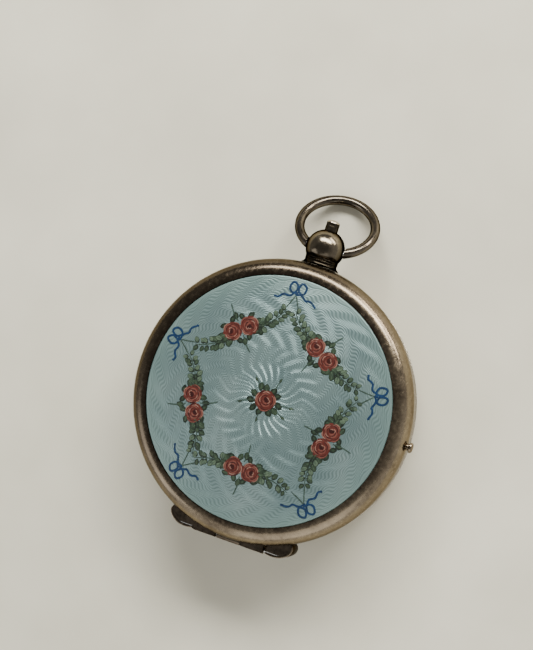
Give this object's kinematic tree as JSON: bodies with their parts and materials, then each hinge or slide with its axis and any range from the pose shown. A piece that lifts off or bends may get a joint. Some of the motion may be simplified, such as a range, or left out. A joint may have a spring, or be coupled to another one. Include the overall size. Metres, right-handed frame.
{
  "type": "fob watch",
  "caption": "Round silver key-wound hunter fob watch, guilloche enamel lid with painted rose garlands, ball pendant with push-piece, tilting bow, hinged back and inner cover.",
  "frame": {"origin": "centre of the flat face of the back cover, on which the watch lies", "axes": "+Z towards the enamelled lid, +Y towards 12 o'clock and the pendant, +X towards 3 o'clock"},
  "size_m": [0.0348, 0.0439, 0.0115],
  "materials": {
    "tarnished_silver": "polished silver, tarnished brown-grey with rubbed bright edges",
    "polished_steel": "polished steel",
    "blued_steel": "heat-blued steel",
    "wheel_brass": "grained wheel brass",
    "gilt_brass": "frosted gilding",
    "guilloche_enamel": "translucent pale aqua enamel over engine turning, painted roses",
    "crystal_glass": "clear domed watch glass",
    "dial_enamel": "white vitreous enamel with black numerals",
    "ruby": "polished ruby"
  },
  "bodies": {
    "case": {"back_hinge_pin": "polished_steel", "balance_cock": "gilt_brass", "balance_cock_screw": "blued_steel", "balance_jewel": "ruby", "barrel_bridge": "gilt_brass", "barrel_bridge_screw_1": "blued_steel", "barrel_bridge_screw_2": "blued_steel", "bezel": "tarnished_silver", "case_band": "tarnished_silver", "case_screw_1": "blued_steel", "case_screw_2": "blued_steel", "centre_bar": "gilt_brass", "centre_bar_screw": "blued_steel", "click_screw": "blued_steel", "click_spring": "polished_steel", "crystal": "crystal_glass", "cuvette_hinge_pin": "polished_steel", "dial": "dial_enamel", "escape_cock": "gilt_brass", "escape_cock_screw": "blued_steel", "fly_spring": "polished_steel", "fly_spring_screw": "blued_steel", "fourth_bar": "gilt_brass", "fourth_bar_screw": "blued_steel", "lid_hinge_pin": "polished_steel", "lock_spring_screw": "blued_steel", "main_plate": "gilt_brass", "pendant": "tarnished_silver", "third_bar": "gilt_brass", "third_bar_screw": "blued_steel"},
    "lid": {"lid_cover": "tarnished_silver", "lid_enamel": "guilloche_enamel", "thumb_stud": "tarnished_silver"},
    "back": {"back_cover": "tarnished_silver"},
    "inner_cover": {"cuvette": "tarnished_silver"},
    "bow_ring": {"bow": "tarnished_silver"},
    "push": {"push_piece": "tarnished_silver"},
    "catch": {"lock_spring": "polished_steel"},
    "seconds_train": {"fourth_wheel": "wheel_brass"},
    "third_train": {"third_wheel": "wheel_brass"},
    "centre_train": {"centre_wheel": "wheel_brass", "setting_arbor": "polished_steel", "cannon_pinion": "polished_steel", "minute_hand": "blued_steel"},
    "hour_train": {"hour_wheel": "wheel_brass", "hour_hand": "blued_steel"},
    "minute_train": {"minute_wheel": "wheel_brass"},
    "escape_train": {"escape_wheel": "polished_steel"},
    "barrel": {"barrel_drum": "wheel_brass", "barrel_lid": "wheel_brass", "mainspring": "polished_steel"},
    "winding": {"barrel_arbor": "polished_steel", "ratchet_wheel": "polished_steel"},
    "click_lever": {"click": "polished_steel"},
    "balance": {"balance_wheel": "wheel_brass", "balance_staff": "polished_steel", "hairspring": "blued_steel"},
    "index": {"regulator": "polished_steel"}
  },
  "joints": [
    {"name": "lid_hinge", "type": "hinge", "parent": "case", "child": "lid", "pos_m": [0, -0.01705, 0.0073], "axis": [1, 0, 0], "range_deg": [0, 90]},
    {"name": "back_hinge", "type": "hinge", "parent": "case", "child": "back", "pos_m": [0, -0.01705, 0.0049], "axis": [-1, 0, 0], "range_deg": [0, 90]},
    {"name": "cuvette_hinge", "type": "hinge", "parent": "case", "child": "inner_cover", "pos_m": [0, -0.0152, 0.0046], "axis": [-1, 0, 0], "range_deg": [0, 73]},
    {"name": "bow_pivot", "type": "hinge", "parent": "case", "child": "bow_ring", "pos_m": [0, 0.0192, 0.0061], "axis": [1, 0, 0], "range_deg": [-68, 148]},
    {"name": "push_slide", "type": "slide", "parent": "case", "child": "push", "axis": [0, -1, 0], "range_m": [0, 0.0006], "stiffness_N_per_m": 1500},
    {"name": "catch_pivot", "type": "hinge", "parent": "case", "child": "catch", "pos_m": [0.00951, 0.01217, 0.0058], "axis": [0, 0, 1], "range_deg": [0, 3.8]},
    {"name": "fourth_arbor", "type": "hinge", "parent": "case", "child": "seconds_train", "pos_m": [0.00576, -0.00182, 0.004], "axis": [0, 0, -1], "continuous": true},
    {"name": "third_arbor", "type": "hinge", "parent": "case", "child": "third_train", "pos_m": [0.00389, 0.00142, 0.004], "axis": [0, 0, -1], "continuous": true},
    {"name": "centre_arbor", "type": "hinge", "parent": "case", "child": "centre_train", "pos_m": [0, 0, 0.004], "axis": [0, 0, -1], "continuous": true},
    {"name": "hour_pipe", "type": "hinge", "parent": "case", "child": "hour_train", "pos_m": [0, 0, 0.007], "axis": [0, 0, -1], "continuous": true},
    {"name": "minute_stud", "type": "hinge", "parent": "case", "child": "minute_train", "pos_m": [-0.0013, -0.00178, 0.0066], "axis": [0, 0, -1], "continuous": true},
    {"name": "escape_arbor", "type": "hinge", "parent": "case", "child": "escape_train", "pos_m": [0.00374, -0.00422, 0.004], "axis": [0, 0, -1], "continuous": true},
    {"name": "barrel_turn", "type": "hinge", "parent": "case", "child": "barrel", "pos_m": [-0.0062, 0.00365, 0.004], "axis": [0, 0, -1], "continuous": true},
    {"name": "winding_arbor", "type": "hinge", "parent": "case", "child": "winding", "pos_m": [-0.0062, 0.00365, 0.002], "axis": [0, 0, 1], "continuous": true},
    {"name": "click_pivot", "type": "hinge", "parent": "case", "child": "click_lever", "pos_m": [-0.0093, 0.0063, 0.002], "axis": [0, 0, 1], "range_deg": [0, 12], "stiffness_Nm_per_rad": 0.00002},
    {"name": "balance_staff_pivot", "type": "hinge", "parent": "case", "child": "balance", "pos_m": [0.0034, -0.0062, 0.004], "axis": [0, 0, 1], "range_deg": [-135, 135], "stiffness_Nm_per_rad": 0.0000006, "deforming": ["hairspring"]},
    {"name": "regulator_pivot", "type": "hinge", "parent": "case", "child": "index", "pos_m": [0.0034, -0.0062, 0.0013], "axis": [0, 0, 1], "range_deg": [-15, 15]}
  ],
  "couplings": [
    {"joint": "cuvette_hinge", "follows": "back_hinge", "ratio": 0.8},
    {"joint": "catch_pivot", "follows": "push_slide", "rad_per_m": 105.13},
    {"joint": "third_arbor", "follows": "fourth_arbor", "ratio": -0.13333},
    {"joint": "centre_arbor", "follows": "fourth_arbor", "ratio": 0.016667},
    {"joint": "escape_arbor", "follows": "fourth_arbor", "ratio": -10},
    {"joint": "barrel_turn", "follows": "fourth_arbor", "ratio": -0.0020833},
    {"joint": "minute_stud", "follows": "fourth_arbor", "ratio": -0.0055556},
    {"joint": "hour_pipe", "follows": "fourth_arbor", "ratio": 0.0013889}
  ]
}
